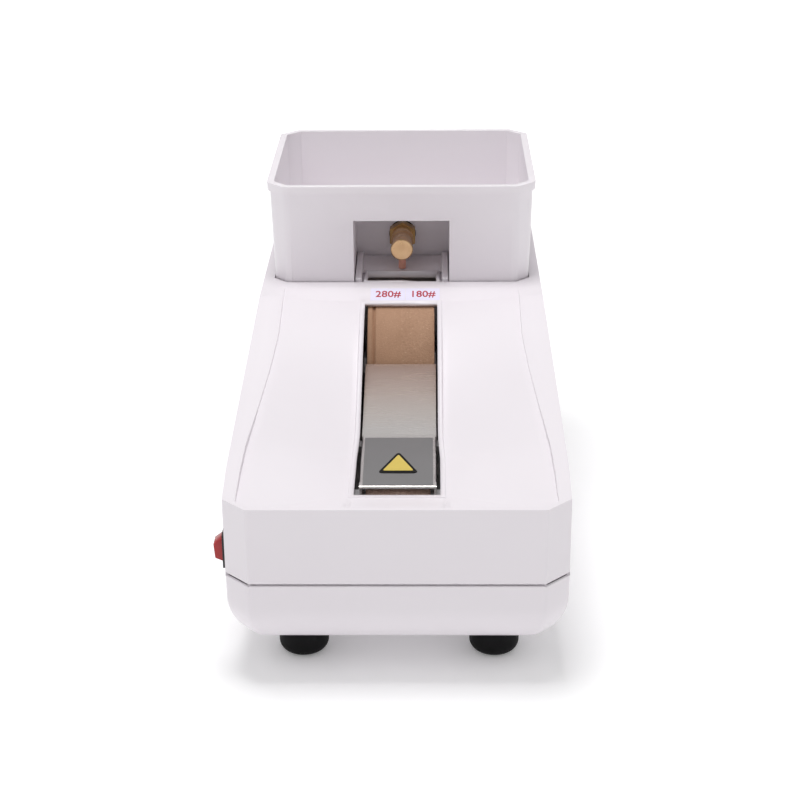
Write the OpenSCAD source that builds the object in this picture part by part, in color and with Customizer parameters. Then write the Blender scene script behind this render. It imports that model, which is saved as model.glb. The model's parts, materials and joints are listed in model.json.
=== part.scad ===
// Hand-fed wet edge grinder: casing, lift-off water tank with a drip tap,
// two-grit wheel on a belt-driven spindle, and the motor behind it.
// While it is drawn, y = 0 is the front wall, x = 0 the middle, z = 0 the table.
// Every node is then moved so that the origin is under the middle of the box.

/* [Casing] */
// Half the casing's width at the front
body_half = 98; // [94:1:104]
// Half the casing's width beside the tank
rear_half = 91.5; // [90:0.5:96]
// Length of the casing, front wall to rear wall
body_len = 383; // [380:1:400]
// Cut of the four upright corners
corner = 14; // [10:1:18]
// Where the side walls start to draw in
taper_start = 40; // [36:1:60]
// Thickness of the casing's walls
wall = 3; // [2.5:0.25:3.5]
// Height of the casing's underside above the table
base_z = 20; // [18:1:24]
// Height of the joint between base and top
split_z = 65; // [60:1:68]
// Radius of the rounded bottom edge
bottom_round = 30; // [20:1:34]

/* [Front tray and ramp] */
// Height of the front lip
lip_z = 112; // [111:0.5:114]
// Width of the front lip
lip_w = 3.5; // [2.5:0.5:5]
// Height of the deck behind the ramp
deck_z = 164; // [162:0.5:166]
// Where the ramp's sides reach the deck's height
deck_start = 207; // [204:1:210]
// Height of the tray's floor beside the slot
floor_z = 109; // [108:0.5:110]
// Crease between tray and ramp, beside the slot
crease_y = 75; // [70:1:80]
// How far the crease runs forward towards the sides
crease_run = 7; // [4:1:12]
// Width of the side rails beside the tray
rail_low = 8; // [6:0.5:10]
// Width of the side rails halfway up the ramp
rail_mid = 17; // [14:0.5:18]
// Width of the side rails beside the deck
rail_high = 15.5; // [12:0.5:17]
// Slope of the ramp where it leaves the tray
ramp_foot = 0.25; // [0.1:0.05:0.35]
// Slope of the ramp below the deck
ramp_head = 0.2; // [0.1:0.05:0.35]
// How much deeper the dish is than the slot's raised edge
dish_sag = 3; // [0:0.5:6]

/* [Slot] */
// Half the slot's width in the tray
slot_low = 24.6; // [24:0.1:25]
// Half the slot's width in the ramp
slot_high = 23.4; // [23:0.1:24]
// Front end of the slot
slot_front = 24; // [22:1:28]
// Rear end of the slot
slot_rear = 206; // [204:1:207]
// Width of the slot's raised edge
slot_lip = 2.6; // [2:0.2:3.5]

/* [Tank] */
// Half the tank's width at its bottom
tank_half = 84; // [80:0.5:86]
// Half the tank's width under its rim
tank_half_top = 86; // [84:0.5:88]
// Front face of the tank at its bottom
tank_front = 234; // [232:1:236]
// Rear face of the tank at its bottom
tank_back = 372; // [360:1:374]
// Height of the tank's rim above the table
rim_z = 230; // [220:1:240]
// Height of the rim's band
rim_h = 5.5; // [4:0.5:8]
// How far the rim stands out
rim_out = 1.6; // [1:0.2:2.4]
// Thickness of the tank's walls
tank_wall = 3; // [2.5:0.25:3.5]
// Depth of the recess that the tank stands in
recess_depth = 2.5; // [2:0.25:2.5]
// Half the width of the alcove
alcove_half = 31.4; // [30:0.2:33]
// Height of the alcove's top above the table
alcove_z = 206.3; // [202:0.5:210]
// Back wall of the alcove
alcove_back = 285; // [284:0.5:286]

/* [Tap] */
// Height of the tap's axis
tap_z = 181.5; // [180:0.5:184]
// Width across flats of the tap's nut
tap_flats = 17.2; // [15:0.2:19]
// Diameter of the knob
knob_dia = 14.6; // [12:0.2:18]
// Front face of the knob
knob_front = 247; // [244:0.5:249]

/* [Wheel and spindle] */
// Diameter of the wheel
wheel_dia = 100; // [98:1:100]
// Width of the wheel
wheel_w = 43; // [40:0.5:43]
// Thickness of the abrasive rims
rim_t = 7; // [4:0.5:10]
// Wheel axis, from the front wall
axis_y = 221.8; // [221:0.2:222]
// Wheel axis, above the table
axis_z = 107.9; // [107:0.2:108]
// Diameter of the spindle
spindle_dia = 12; // [10:0.5:12]
// Outer diameter of the ball bearings
bearing_dia = 32; // [28:1:35]
// Seat radius of the pulley on the spindle
spindle_seat = 20; // [18:0.5:22]

/* [Motor] */
// Motor axis, from the front wall
motor_y = 323; // [322:0.5:324]
// Motor axis, above the table
motor_z = 84; // [80:1:90]
// Motor diameter
motor_dia = 82; // [70:1:84]
// Length of the motor's can
motor_len = 94; // [80:1:96]
// Seat radius of the pulley on the motor
motor_seat = 14; // [12:0.5:16]

/* [Feet and switch] */
// Diameter of the rubber feet
foot_dia = 29.5; // [26:0.5:32]
// Half the distance between the feet, side to side
foot_x = 56.5; // [50:0.5:60]
// Front feet, from the front wall
foot_front = 43; // [40:1:50]
// Rear feet, from the front wall
foot_rear = 345; // [330:1:350]
// How far the rocker stands out of the side wall
rocker_out = 7; // [5:0.5:8]
// Middle of the switch, from the front wall
switch_y = 26; // [25:0.5:30]
// Middle of the switch, above the table
switch_z = 76.5; // [76:0.5:80]

/* [Hidden] */

inlet_flange = 2;
mid_x = -rocker_out / 2;
mid_y = (body_len + inlet_flange) / 2;
crease_far = crease_y - crease_run;
ramp_len = deck_start - crease_y;
slot_top_z = 158.5;
dish_back = 222;
tank_floor = deck_z - recess_depth;
deck_under = tank_floor - 2.5;
tray_floor = base_z + wall;
drip_front = 236;
drip_back = 257;
drip_half = 25;
pan_half = 29.5;
pan_wall = 2.5;
pan_front = 18;
pan_back = 279.5;
plate_half = 22.3;
plate_t = 1.5;
// Line of the rest plate's upper face: front end, bend, rear end
plate_front = [44, 105.2];
plate_bend = [100, 111.4];
plate_rear = [174, 129.3];
post_places = [[-78, 60], [78, 60], [-78, 340], [78, 340]];
foot_places = [for (side = [-1, 1], y = [foot_front, foot_rear]) [side * foot_x, y]];
pulley_x = 46;
pulley_w = 12;
drain_y = 165;
inlet_at = [52, 96];
wheel_half = wheel_w / 2;
wheel_r = wheel_dia / 2;
groove_x = -17.5;
knob_t = 5.5;

// ---- shapes that several parts use ----

// Puts a node in the finished frame
module placed() {
    translate([-mid_x, -mid_y, 0]) children();
}

// A profile in y and z, drawn out along x
module along_x(from, to) {
    translate([from, 0, 0]) rotate([90, 0, 90]) linear_extrude(to - from) children();
}

// A turned shape whose axis is x, from a profile of [radius, x]
module turned_x(points, y, z) {
    translate([0, y, z]) rotate([0, 90, 0]) rotate_extrude($fn = 96) polygon(points);
}

// A turned shape whose axis is y, from a profile of [radius, y]
module turned_y(points, x, z) {
    translate([x, 0, z]) rotate([-90, 0, 0]) rotate_extrude($fn = 72) polygon(points);
}

// A ring whose axis is x
module ring_x(inner, outer, from, to, y, z) {
    turned_x([[inner, from], [outer, from], [outer, to], [inner, to]], y, z);
}

// A solid through closed rings of equal count, the lowest ring first
module skin(rings) {
    n = len(rings[0]);
    last = len(rings) - 1;
    sides = [for (r = [0 : last - 1], j = [0 : n - 1])
        each [[r * n + j, (r + 1) * n + j, (r + 1) * n + (j + 1) % n],
              [r * n + j, (r + 1) * n + (j + 1) % n, r * n + (j + 1) % n]]];
    low = [for (j = [0 : n - 1]) j];
    high = [for (j = [n - 1 : -1 : 0]) last * n + j];
    polyhedron([for (ring = rings) each ring], concat([low, high], sides), convexity = 6);
}

function mix(a, b, t) = a + (b - a) * t;
function lift(ring, z) = [for (p = ring) [p.x, p.y, z]];

// A rectangle with cut corners, drawn in by d
function cut_box(half, front, back, cut, d) =
    let (c = max(0.6, cut - 0.586 * d), w = half - d, f = front + d, b = back - d)
    [[c - w, f], [w - c, f], [w, f + c], [w, b - c],
     [w - c, b], [c - w, b], [-w, b - c], [-w, f + c]];

// The casing's outline in plan, drawn in by d
function outline(d) =
    let (c = max(4, corner - 0.586 * d), w = body_half - d, r = rear_half - d, b = body_len - d)
    [[c - w, d], [w - c, d], [w, d + c], [w, max(taper_start, d + c + 1)], [r, deck_start], [r, b - c],
     [r - c, b], [c - r, b], [-r, b - c], [-r, deck_start], [-w, max(taper_start, d + c + 1)], [-w, d + c]];

// ---- the dished front ----

function half_at(y) =
    body_half - (body_half - rear_half) * min(1, max(0, (y - taper_start) / (deck_start - taper_start)));
function rail_top(y) = lip_z + (deck_z - lip_z) * min(1, max(0, (y - corner) / (deck_start - corner)));
function rail_w(y) =
    lookup(y, [[60, rail_low], [95, mix(rail_low, rail_mid, 0.45)], [165, rail_mid], [207, rail_high]]);
function rail_inner(y) = min(half_at(y) - rail_w(y), y + body_half - corner - 1.414 * lip_w);

// Height of the slot's raised edge
function edge_z(y) =
    y <= crease_y ? floor_z
    : y <= deck_start ? let (t = (y - crease_y) / ramp_len)
        floor_z + (slot_top_z - floor_z) * t * t * (3 - 2 * t)
            + ramp_len * t * (1 - t) * (ramp_foot * (1 - t) - ramp_head * t)
    : slot_top_z + (y - deck_start) / 3;
function sag_at(y) =
    y <= crease_y || y >= deck_start ? 0 : dish_sag * sin(180 * (y - crease_y) / ramp_len);
// Height of the dish where it meets the side rails
function side_z(y) = rail_top(y) - lookup(y, [[corner, 1.5], [40, 3], [crease_far, 2.5], [100, 0.8]]);
function dish_z(s, y) =
    let (from = crease_at(s),
         run = min(1, max(0, (y - from) / (deck_start - from))),
         middle = crease_y + run * ramp_len)
    mix(edge_z(middle) - sag_at(middle), side_z(y), s * (0.7 + 0.3 * s));

// Rows of the dish: [kind, share], from the front lip to the deck
dish_rows = [[0, 0], [1, 0], [1, 0.075], [1, 0.4], [1, 0.75], [1, 1],
             [2, 0.05], [2, 0.12], [2, 0.2], [2, 0.3], [2, 0.42], [2, 0.55], [2, 0.68],
             [2, 0.8], [2, 0.9], [2, 1], [3, 0]];
dish_shares = [0, 0.08, 0.2, 0.36, 0.54, 0.72, 0.88, 1];

function tray_start(s) = max(lip_w + 1.1, slot_front - 21.3 * s);
function crease_at(s) = crease_y - crease_run * s;
function row_y(row, s) =
    row[0] == 0 ? lip_w
    : row[0] == 1 ? mix(tray_start(s), crease_at(s), row[1])
    : row[0] == 2 ? mix(crease_at(s), deck_start, row[1])
    : dish_back;
function row_z(row, s, y) =
    row[0] == 0 ? lip_z - 0.8
    : row[0] < 3 ? dish_z(s, y)
    : deck_z - 0.5;

// One half of a row, from the middle out
function half_row(row, grow) =
    let (y0 = row_y(row, 0), push = row[0] == 0 ? -grow : row[0] == 3 ? grow : 0,
         edge = slot_high + slot_lip)
    concat([for (x = [0, edge]) [x, y0 + push, edge_z(y0) + (row[0] == 0 ? 2 : 0) - grow]],
           [for (s = dish_shares)
               let (y = row_y(row, s), x = mix(edge + 0.5, rail_inner(y) + grow, s))
               [x, y + push, row_z(row, s, y) - grow]]);
function full_row(row, grow) =
    let (h = half_row(row, grow), n = len(h))
    concat([for (i = [n - 1 : -1 : 1]) [-h[i].x, h[i].y, h[i].z]], h);

// Everything above the dished surface; grow gives the surface a wall's thickness lower
module dish(grow) {
    rows = [for (row = dish_rows) full_row(row, grow)];
    n = len(rows[0]);
    m = len(rows);
    count = n * m;
    points = concat([for (row = rows) each row], [for (row = rows) each lift(row, 200)]);
    under = [for (r = [0 : m - 2], j = [0 : n - 2]) let (a = r * n + j, b = a + n)
        each [[a, a + 1, b + 1], [a, b + 1, b]]];
    over = [for (f = under) [f[2] + count, f[1] + count, f[0] + count]];
    front = [for (j = [0 : n - 2]) each [[j, j + count, j + 1 + count], [j, j + 1 + count, j + 1]]];
    back = [for (j = [0 : n - 2]) let (a = (m - 1) * n + j)
        each [[a, a + 1, a + 1 + count], [a, a + 1 + count, a + count]]];
    left = [for (r = [0 : m - 2]) let (a = r * n, b = a + n)
        each [[a, b, b + count], [a, b + count, a + count]]];
    right = [for (r = [0 : m - 2]) let (a = r * n + n - 1, b = a + n)
        each [[a, b + count, b], [a, a + count, b + count]]];
    polyhedron(points, concat(under, over, front, back, left, right), convexity = 8);
}

// ---- casing ----

module shell_block(d) {
    along = [[d, split_z - 20 * sign(d)], [d, lip_z - d], [corner + 0.3 * d, lip_z - d],
             [deck_start + 0.3 * d, deck_z - d], [body_len - d, deck_z - d],
             [body_len - d, split_z - 20 * sign(d)]];
    intersection() {
        translate([0, 0, split_z - 30]) linear_extrude(deck_z) polygon(outline(d));
        along_x(-body_half, body_half) polygon(along);
    }
}

module tank_recess(grow) {
    translate([0, 0, tank_floor - grow])
        linear_extrude(40) polygon(cut_box(tank_half + 0.6, tank_front - 0.6, tank_back + 0.6, 9, -grow));
}

module slot_cut() {
    points = [[-slot_low, slot_front], [slot_low, slot_front], [slot_low, crease_y],
              [slot_high, crease_y + 20], [slot_high, slot_rear], [-slot_high, slot_rear],
              [-slot_high, crease_y + 20], [-slot_low, crease_y]];
    translate([0, 0, floor_z - 8]) linear_extrude(100) polygon(points);
}

module top_shell() {
    color([0.93, 0.91, 0.93])
    difference() {
        union() {
            difference() {
                shell_block(0);
                dish(0);
                tank_recess(0);
                difference() {
                    shell_block(wall);
                    dish(wall);
                    tank_recess(tank_floor - deck_under);
                }
            }
            for (p = post_places)
                difference() {
                    translate([p.x, p.y, split_z])
                        cylinder(h = (p.y < 200 ? rail_top(p.y) : deck_under + 1) - split_z,
                                 r = 5.5, $fn = 48);
                    dish(wall / 2);
                }
        }
        slot_cut();
        // room for the wheel under the rear end of the slot
        ring_x(0, wheel_r + 0.8, -slot_high - 1, slot_high + 1, axis_y, axis_z);
        translate([-drip_half, drip_front, deck_under - 5])
            cube([2 * drip_half, drip_back - drip_front, 20]);
        for (p = post_places)
            translate([p.x, p.y, split_z - 1]) cylinder(h = 22, r = 1.95, $fn = 32);
        // rocker switch in the left wall
        translate([-body_half - 1, switch_y - 6.5, switch_z - 9.5]) cube([10, 13, 19]);
        // appliance inlet in the rear wall
        translate([inlet_at.x - 14, body_len - 10, inlet_at.y - 10]) cube([28, 20, 20]);
        for (side = [-1, 1])
            translate([inlet_at.x + side * 20, body_len + 1, inlet_at.y])
                rotate([90, 0, 0]) cylinder(h = 10, r = 1.5, $fn = 24);
        // cooling slots behind the motor
        for (k = [0 : 6])
            translate([-66 + k * 12, body_len - 10, motor_z - 6]) cube([4, 20, 40]);
    }
}

function base_ring(angle, inset) =
    let (r = bottom_round - inset)
    lift(outline(inset + r * (1 - sin(angle))), base_z + inset + r * (1 - cos(angle)));

module base_body(inset, top) {
    skin(concat([for (k = [0 : 9]) base_ring(k * 10, inset)], [lift(outline(inset), top)]));
}

module base_tray() {
    color([0.92, 0.91, 0.93])
    difference() {
        union() {
            difference() {
                base_body(0, split_z);
                base_body(wall, split_z + 5);
            }
            intersection() {
                base_body(1, split_z);
                for (p = post_places)
                    translate([p.x, p.y, base_z + 1]) cylinder(h = split_z - base_z - 1, r = 5.5, $fn = 48);
            }
            for (p = foot_places)
                translate([p.x, p.y, base_z + 1]) cylinder(h = 14, r = 4.5, $fn = 48);
        }
        for (p = post_places) {
            translate([p.x, p.y, 0]) cylinder(h = 40, r = 4.3, $fn = 40);
            translate([p.x, p.y, 0]) cylinder(h = 70, r = 2.2, $fn = 32);
        }
        for (p = foot_places)
            translate([p.x, p.y, base_z - 1]) cylinder(h = 14, r = 1.95, $fn = 32);
        translate([0, drain_y, 0]) cylinder(h = 60, r = 8, $fn = 48);
        // cooling slots under the motor
        for (k = [0 : 6])
            translate([-46 + k * 12, motor_y - 20, 0]) cube([4, 40, 60]);
    }
}

module rubber_feet() {
    r = foot_dia / 2;
    bend = 6;
    profile = concat([[5, 0], [r - bend, 0]],
                     [for (a = [10 : 10 : 90]) [r - bend + bend * sin(a), bend - bend * cos(a)]],
                     [[r, base_z], [2.1, base_z], [2.1, 8], [5, 8]]);
    color([0.07, 0.07, 0.07])
    for (p = foot_places)
        translate([p.x, p.y, 0]) rotate_extrude($fn = 72) polygon(profile);
}

module foot_screws() {
    color([0.7, 0.7, 0.72])
    for (p = foot_places)
        translate([p.x, p.y, 0]) {
            translate([0, 0, 5]) cylinder(h = 3, r = 4.5, $fn = 40);
            translate([0, 0, 7.5]) cylinder(h = 24, r = 2, $fn = 32);
        }
}

module shell_screws() {
    color([0.7, 0.7, 0.72])
    for (p = post_places)
        translate([p.x, p.y, 0]) {
            translate([0, 0, 37]) cylinder(h = 3, r = 3.9, $fn = 40);
            translate([0, 0, 39.5]) cylinder(h = 45, r = 2, $fn = 32);
        }
}

// ---- tank ----

// Tank walls between two heights, drawn in by d
function tank_ring(z, d) =
    let (t = (z - tank_floor) / (rim_z - tank_floor), w = mix(tank_half, tank_half_top, t))
    lift(cut_box(w, mix(tank_front, tank_front - 3, t), mix(tank_back, tank_back + 3, t), mix(9, 11, t), d), z);

module water_tank() {
    shank = 5.05;
    color([0.93, 0.92, 0.94])
    difference() {
        union() {
            skin([tank_ring(tank_floor, 0), tank_ring(rim_z - rim_h, 0)]);
            skin([tank_ring(rim_z - rim_h, -rim_out), tank_ring(rim_z, -rim_out)]);
        }
        difference() {
            skin([tank_ring(tank_floor + tank_wall, tank_wall), tank_ring(rim_z + 2, tank_wall)]);
            translate([-alcove_half - tank_wall, tank_front - 10, tank_floor])
                cube([2 * (alcove_half + tank_wall), alcove_back + tank_wall - tank_front + 10,
                      alcove_z + tank_wall - tank_floor]);
        }
        translate([-alcove_half, tank_front - 10, tank_floor - 5])
            cube([2 * alcove_half, alcove_back - tank_front + 10, alcove_z - tank_floor + 5]);
        translate([0, alcove_back - 1, tap_z]) rotate([-90, 0, 0]) cylinder(h = tank_wall + 2, r = shank, $fn = 48);
    }
}

module drip_tray() {
    cheek_in = 26.5;
    cheek_out = alcove_half - 0.6;
    floor_line = [[drip_back + 0.5, tank_floor], [alcove_back - 1, tank_floor],
                  [alcove_back - 1, tank_floor + 4.5], [drip_back + 0.5, tank_floor + 1.5]];
    cheek_line = [[drip_front, tank_floor], [alcove_back - 1, tank_floor], [alcove_back - 1, tank_floor + 7],
                  [272, tank_floor + 7], [drip_front, tank_floor + 4]];
    color([0.9, 0.88, 0.9])
    union() {
        along_x(-cheek_out, cheek_out) polygon(floor_line);
        along_x(-cheek_out, -cheek_in) polygon(cheek_line);
        along_x(cheek_in, cheek_out) polygon(cheek_line);
    }
}

// ---- drip tap ----

module hex_y(flats, bore, from, to) {
    translate([0, from, tap_z]) rotate([-90, 0, 0])
    difference() {
        linear_extrude(to - from) rotate(30) circle(r = flats / sqrt(3), $fn = 6);
        translate([0, 0, -1]) cylinder(h = to - from + 2, r = bore, $fn = 48);
    }
}

module tap_nut() {
    color([0.5, 0.36, 0.2]) hex_y(tap_flats, 5.02, 276.5, 283.8);
}

module tap_body() {
    nose = knob_front + knob_t + 2;
    profile = [[2.58, nose], [4.6, nose], [4.6, nose + 1.6], [6.3, nose + 1.6], [6.3, 266], [7.4, 267],
               [7.4, 269.5], [6, 270.5], [6, 272.5], [7, 273.2], [7, 276.5], [5, 276.5], [5, 303],
               [2, 303], [2, 268], [2.58, 266]];
    color([0.72, 0.53, 0.32]) turned_y(profile, 0, tap_z);
}

module tap_outlet() {
    color([0.74, 0.43, 0.36])
    difference() {
        translate([0, 262, tap_z - 17.5]) cylinder(h = 12.5, r = 2.45, $fn = 40);
        translate([0, 262, tap_z - 18.5]) cylinder(h = 12, r = 1.6, $fn = 32);
    }
}

module tap_knob() {
    r = knob_dia / 2;
    profile = [[0, knob_front], [r - 0.8, knob_front], [r, knob_front + 0.8], [r, knob_front + knob_t - 0.8],
               [r - 0.8, knob_front + knob_t], [2.5, knob_front + knob_t], [2.5, knob_front + 2],
               [0, knob_front + 2]];
    color([0.8, 0.64, 0.46]) turned_y(profile, 0, tap_z);
}

module tap_stem() {
    color([0.72, 0.53, 0.32])
        translate([0, knob_front + 2, tap_z]) rotate([-90, 0, 0]) cylinder(h = 14, r = 2.5, $fn = 40);
}

module tap_washers() {
    color([0.15, 0.15, 0.15])
    for (from = [283.8, alcove_back + tank_wall])
        turned_y([[5.02, from], [9, from], [9, from + 1.2], [5.02, from + 1.2]], 0, tap_z);
}

module tap_lock_nut() {
    color([0.72, 0.53, 0.32]) hex_y(17, 5.02, alcove_back + tank_wall + 1.2, alcove_back + tank_wall + 7);
}

// ---- wheel and spindle ----

module wheel_fine() {
    inner = wheel_r - rim_t;
    profile = [[inner, -wheel_half], [wheel_r, -wheel_half], [wheel_r, groove_x - 1.3],
               [wheel_r - 1.6, groove_x], [wheel_r, groove_x + 1.3], [wheel_r, -0.1], [inner, -0.1]];
    color([0.66, 0.49, 0.38]) turned_x(profile, axis_y, axis_z);
}

module wheel_coarse() {
    color([0.64, 0.46, 0.36])
        ring_x(wheel_r - rim_t, wheel_r, 0.1, wheel_half, axis_y, axis_z);
}

module wheel_core() {
    color([0.7, 0.7, 0.72])
        ring_x(spindle_dia / 2, wheel_r - rim_t, -wheel_half, wheel_half, axis_y, axis_z);
}

module wheel_flanges() {
    color([0.6, 0.6, 0.62])
    for (from = [-wheel_half - 1, wheel_half])
        ring_x(spindle_dia / 2, 18, from, from + 1, axis_y, axis_z);
}

module wheel_nut() {
    color([0.6, 0.6, 0.62])
    difference() {
        along_x(-wheel_half - 5, -wheel_half - 1)
            translate([axis_y, axis_z]) circle(r = 11, $fn = 6);
        ring_x(0, spindle_dia / 2, -wheel_half - 6, -wheel_half, axis_y, axis_z);
    }
}

module spindle() {
    r = spindle_dia / 2;
    profile = [[0, -46], [r - 1, -46], [r, -45], [r, pulley_x + pulley_w + 1],
               [r - 1, pulley_x + pulley_w + 2], [0, pulley_x + pulley_w + 2]];
    collar = [[r, wheel_half + 1], [r + 2.5, wheel_half + 1], [r + 2.5, wheel_half + 3], [r, wheel_half + 3]];
    color([0.75, 0.75, 0.77])
    union() {
        turned_x(profile, axis_y, axis_z);
        turned_x(collar, axis_y, axis_z);
    }
}

module spindle_seals() {
    color([0.1, 0.1, 0.1])
    for (from = [-pan_half, pan_half - pan_wall])
        ring_x(spindle_dia / 2 + 0.08, 10, from, from + pan_wall, axis_y, axis_z);
}

module bearings() {
    color([0.78, 0.78, 0.8])
    for (from = [-42, 32])
        ring_x(spindle_dia / 2 + 0.05, bearing_dia / 2, from, from + 10, axis_y, axis_z);
}

module bearing_blocks() {
    color([0.45, 0.47, 0.5])
    for (from = [-43, 31])
        difference() {
            union() {
                along_x(from, from + 12) translate([axis_y - 22, tray_floor]) square([44, axis_z - tray_floor]);
                ring_x(0, 22, from, from + 12, axis_y, axis_z);
                along_x(from, from + 12) translate([axis_y - 36, tray_floor]) square([72, 7]);
            }
            ring_x(0, bearing_dia / 2, from - 1, from + 13, axis_y, axis_z);
            for (side = [-29, 29])
                translate([from + 6, axis_y + side, tray_floor - 1]) cylinder(h = 10, r = 2.6, $fn = 32);
        }
}

module block_screws() {
    color([0.7, 0.7, 0.72])
    for (x = [-37, 37], side = [-29, 29])
        translate([x, axis_y + side, tray_floor]) {
            translate([0, 0, 7]) cylinder(h = 4, r = 4.5, $fn = 6);
            translate([0, 0, -2]) cylinder(h = 10, r = 2.5, $fn = 32);
        }
}

// ---- splash housing and what is in it ----

pan_crest = [for (y = [slot_rear : -13 : crease_y]) [y, edge_z(y) - sag_at(y) - wall - 1.8]];
// Ledges that carry the rest plate, in y and z, and the narrow top of the rear one
ledges = [[[50, 88], [58, 88], [58, 97], [50, 96]], [[103, 98], [112, 98], [112, 104], [103, 104]]];
ledge_top = [[103, 103], [112, 103], [112, 112.6], [103, 110.5]];

module wheel_housing() {
    top_back = deck_under - 0.6;
    outer = concat([[pan_front, 84], [60, 84], [150, 49.5], [pan_back, 49.5], [pan_back, top_back],
                    [221, top_back]], pan_crest, [[crease_y - 1, floor_z - wall - 0.6],
                    [pan_front, floor_z - wall - 0.6]]);
    t = pan_wall;
    inner = [[pan_front + t, 84 + t], [60.7, 84 + t], [150.7, 49.5 + t], [pan_back - t, 49.5 + t],
             [pan_back - t, 200], [pan_front + t, 200]];
    color([0.82, 0.82, 0.84])
    difference() {
        union() {
            difference() {
                along_x(-pan_half, pan_half) polygon(outer);
                along_x(-pan_half + t, pan_half - t) polygon(inner);
            }
            for (shape = ledges) {
                along_x(-pan_half + 1, -20) polygon(shape);
                along_x(20, pan_half - 1) polygon(shape);
            }
            along_x(-22.6, -20) polygon(ledge_top);
            along_x(20, 22.6) polygon(ledge_top);
        }
        ring_x(0, 10, -pan_half - 1, pan_half + 1, axis_y, axis_z);
        translate([0, drain_y, 40]) cylinder(h = 20, r = 6.5, $fn = 48);
    }
}

module drain_spout() {
    pan_floor = 49.5 + pan_wall;
    profile = [[4.3, 8], [6, 8], [6, 22], [6.5, 22], [6.5, pan_floor], [10, pan_floor],
               [10, pan_floor + 1.5], [4.3, pan_floor + 1.5]];
    color([0.2, 0.2, 0.22])
        translate([0, drain_y, 0]) rotate_extrude($fn = 64) polygon(profile);
}

module drain_nut() {
    color([0.2, 0.2, 0.22])
    translate([0, drain_y, 43])
    difference() {
        cylinder(h = 6.5, r = 12, $fn = 6);
        translate([0, 0, -1]) cylinder(h = 9, r = 6.5, $fn = 48);
    }
}

// The plate's line, moved down by d
function plate_line(d) = [for (p = [plate_front, plate_bend, plate_rear]) [p.x, p.y - d]];

module guard_plate() {
    under = plate_line(plate_t);
    flange = [[plate_front.x, plate_front.y], [plate_bend.x, plate_bend.y], [plate_bend.x, plate_bend.y - 9],
              [plate_front.x + 6, plate_front.y - 9], [plate_front.x, plate_front.y - 5]];
    curl = [[plate_front.x - 1.5, plate_front.y - 5], [plate_front.x + 0.2, plate_front.y - 5],
            [plate_front.x + 0.2, plate_front.y], [plate_front.x - 1.5, plate_front.y - 1]];
    color([0.74, 0.73, 0.72])
    union() {
        along_x(-plate_half, plate_half)
            polygon(concat(plate_line(0), [under[2], under[1], under[0]]));
        along_x(-plate_half, plate_half) polygon(curl);
        for (from = [-plate_half, plate_half - plate_t])
            along_x(from, from + plate_t) polygon(flange);
    }
}

// A thin sheet on the lower half of the plate, between two shares of its length
module on_plate(half, from, to, low, high) {
    a = mix(plate_front, plate_bend, from);
    b = mix(plate_front, plate_bend, to);
    along_x(-half, half)
        polygon([[a.x, a.y + low], [b.x, b.y + low], [b.x, b.y + high], [a.x, a.y + high]]);
}

module plate_film() {
    color([0.5, 0.5, 0.51]) on_plate(plate_half - 2, 0.03, 0.98, 0, 0.3);
}

module caution_patch() {
    slope = atan2(plate_bend.y - plate_front.y, plate_bend.x - plate_front.x);
    centre = mix(plate_front, plate_bend, 0.47);
    color([0.88, 0.78, 0.3])
    translate([0, centre.x, centre.y + 0.3 / cos(slope)]) rotate([slope, 0, 0])
        linear_extrude(0.3) polygon([[-11.5, -12.5], [11.5, -12.5], [0, 12.5]]);
}

module sponge() {
    side = [[46, 86.7], [60.8, 86.7], [92, 74.9], [92, 104], [46, 101.5]];
    color([0.62, 0.45, 0.36]) along_x(-19, 19) polygon(side);
}

module grit_label() {
    a = [209.5, edge_z(209.5) + 0.02];
    b = [221.5, edge_z(221.5) + 0.02];
    color([0.87, 0.86, 0.93])
        along_x(-20, 25) polygon([a, b, [b.x, b.y + 0.3], [a.x, a.y + 0.3]]);
}

// ---- drive ----

module pulley(seat, bore, y, z) {
    a = pulley_x;
    b = pulley_x + pulley_w;
    profile = [[bore, a], [seat + 2.5, a], [seat + 2.5, a + 1.5], [seat, a + 1.5], [seat, b - 1.5],
               [seat + 2.5, b - 1.5], [seat + 2.5, b], [bore, b]];
    turned_x(profile, y, z);
}

module spindle_pulley() {
    color([0.55, 0.56, 0.58]) pulley(spindle_seat, spindle_dia / 2, axis_y, axis_z);
}

module motor_pulley() {
    color([0.55, 0.56, 0.58]) pulley(motor_seat, 5, motor_y, motor_z);
}

module belt_outline(extra) {
    hull() {
        translate([axis_y, axis_z]) circle(r = spindle_seat + extra, $fn = 64);
        translate([motor_y, motor_z]) circle(r = motor_seat + extra, $fn = 64);
    }
}

module drive_belt() {
    color([0.1, 0.1, 0.1])
    difference() {
        along_x(pulley_x + 2.2, pulley_x + pulley_w - 2.2) belt_outline(3.6);
        along_x(pulley_x + 1, pulley_x + pulley_w - 1) belt_outline(0.4);
    }
}

motor_from = 30 - motor_len;

module motor_body() {
    color([0.35, 0.38, 0.42])
        ring_x(0, motor_dia / 2, motor_from, 30, motor_y, motor_z);
}

module motor_end_caps() {
    r = motor_dia / 2;
    color([0.62, 0.63, 0.65])
    union() {
        turned_x([[5.3, 30], [r, 30], [r - 3, 35], [12, 36], [12, 40], [5.3, 40]], motor_y, motor_z);
        turned_x([[0, motor_from], [r, motor_from], [r - 3, motor_from - 5], [0, motor_from - 6]],
                 motor_y, motor_z);
    }
}

module motor_shaft() {
    color([0.75, 0.75, 0.77]) ring_x(0, 5, 30.3, pulley_x + pulley_w + 2, motor_y, motor_z);
}

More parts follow.
